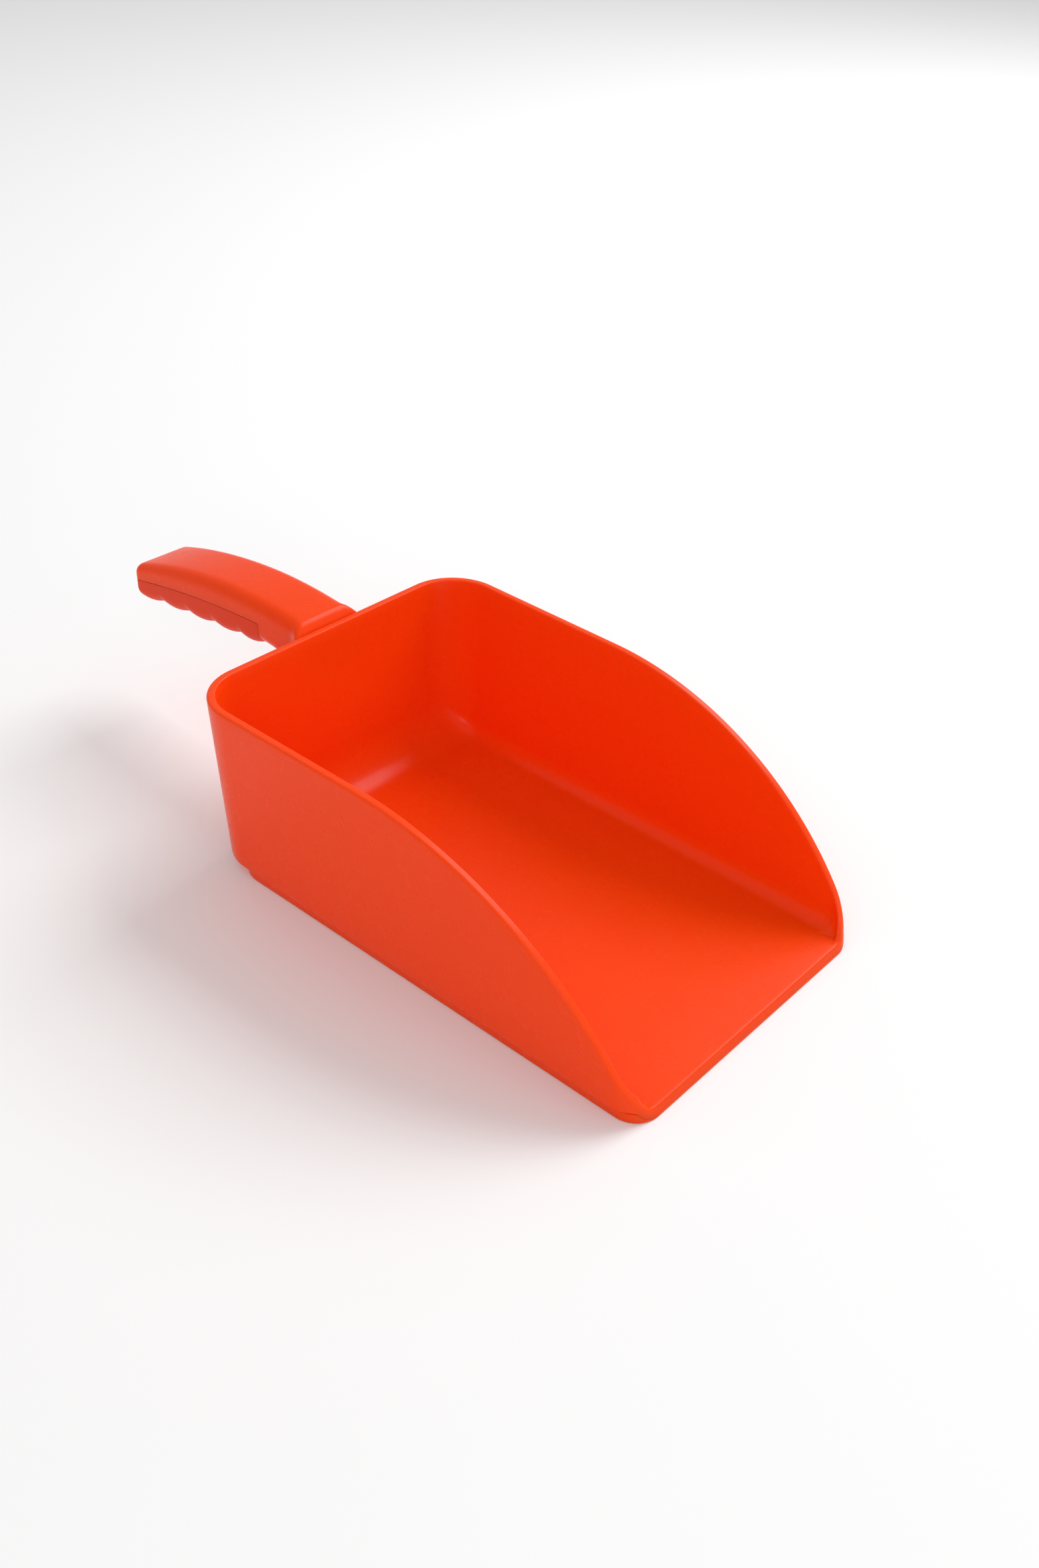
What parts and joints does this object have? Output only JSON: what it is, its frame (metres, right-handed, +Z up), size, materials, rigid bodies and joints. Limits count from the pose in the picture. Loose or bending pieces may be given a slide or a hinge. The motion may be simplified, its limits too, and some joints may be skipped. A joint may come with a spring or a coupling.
{
  "type": "hand scoop",
  "caption": "Large one-handed scoop: deep open-fronted bucket with falling side rims, a bevelled lip and a stepped base, and a hollow grip handle shaped for the fingers.",
  "frame": {"origin": "middle of the scoop's overall footprint, on the surface that its base stands on", "axes": "+Y runs back from the lip to the end of the handle, +X runs across the bucket, +Z is up"},
  "size_m": [0.165, 0.3736, 0.0926],
  "materials": {
    "body_plastic": "orange-red moulded polypropylene, satin, with a fine even grain and smoother edges",
    "grip_plastic": "the same orange-red polypropylene, satin, slightly duller where fingers hold it"
  },
  "bodies": {
    "root": {"scoop_body": "body_plastic", "grip_shell": "grip_plastic"}
  },
  "joints": []
}
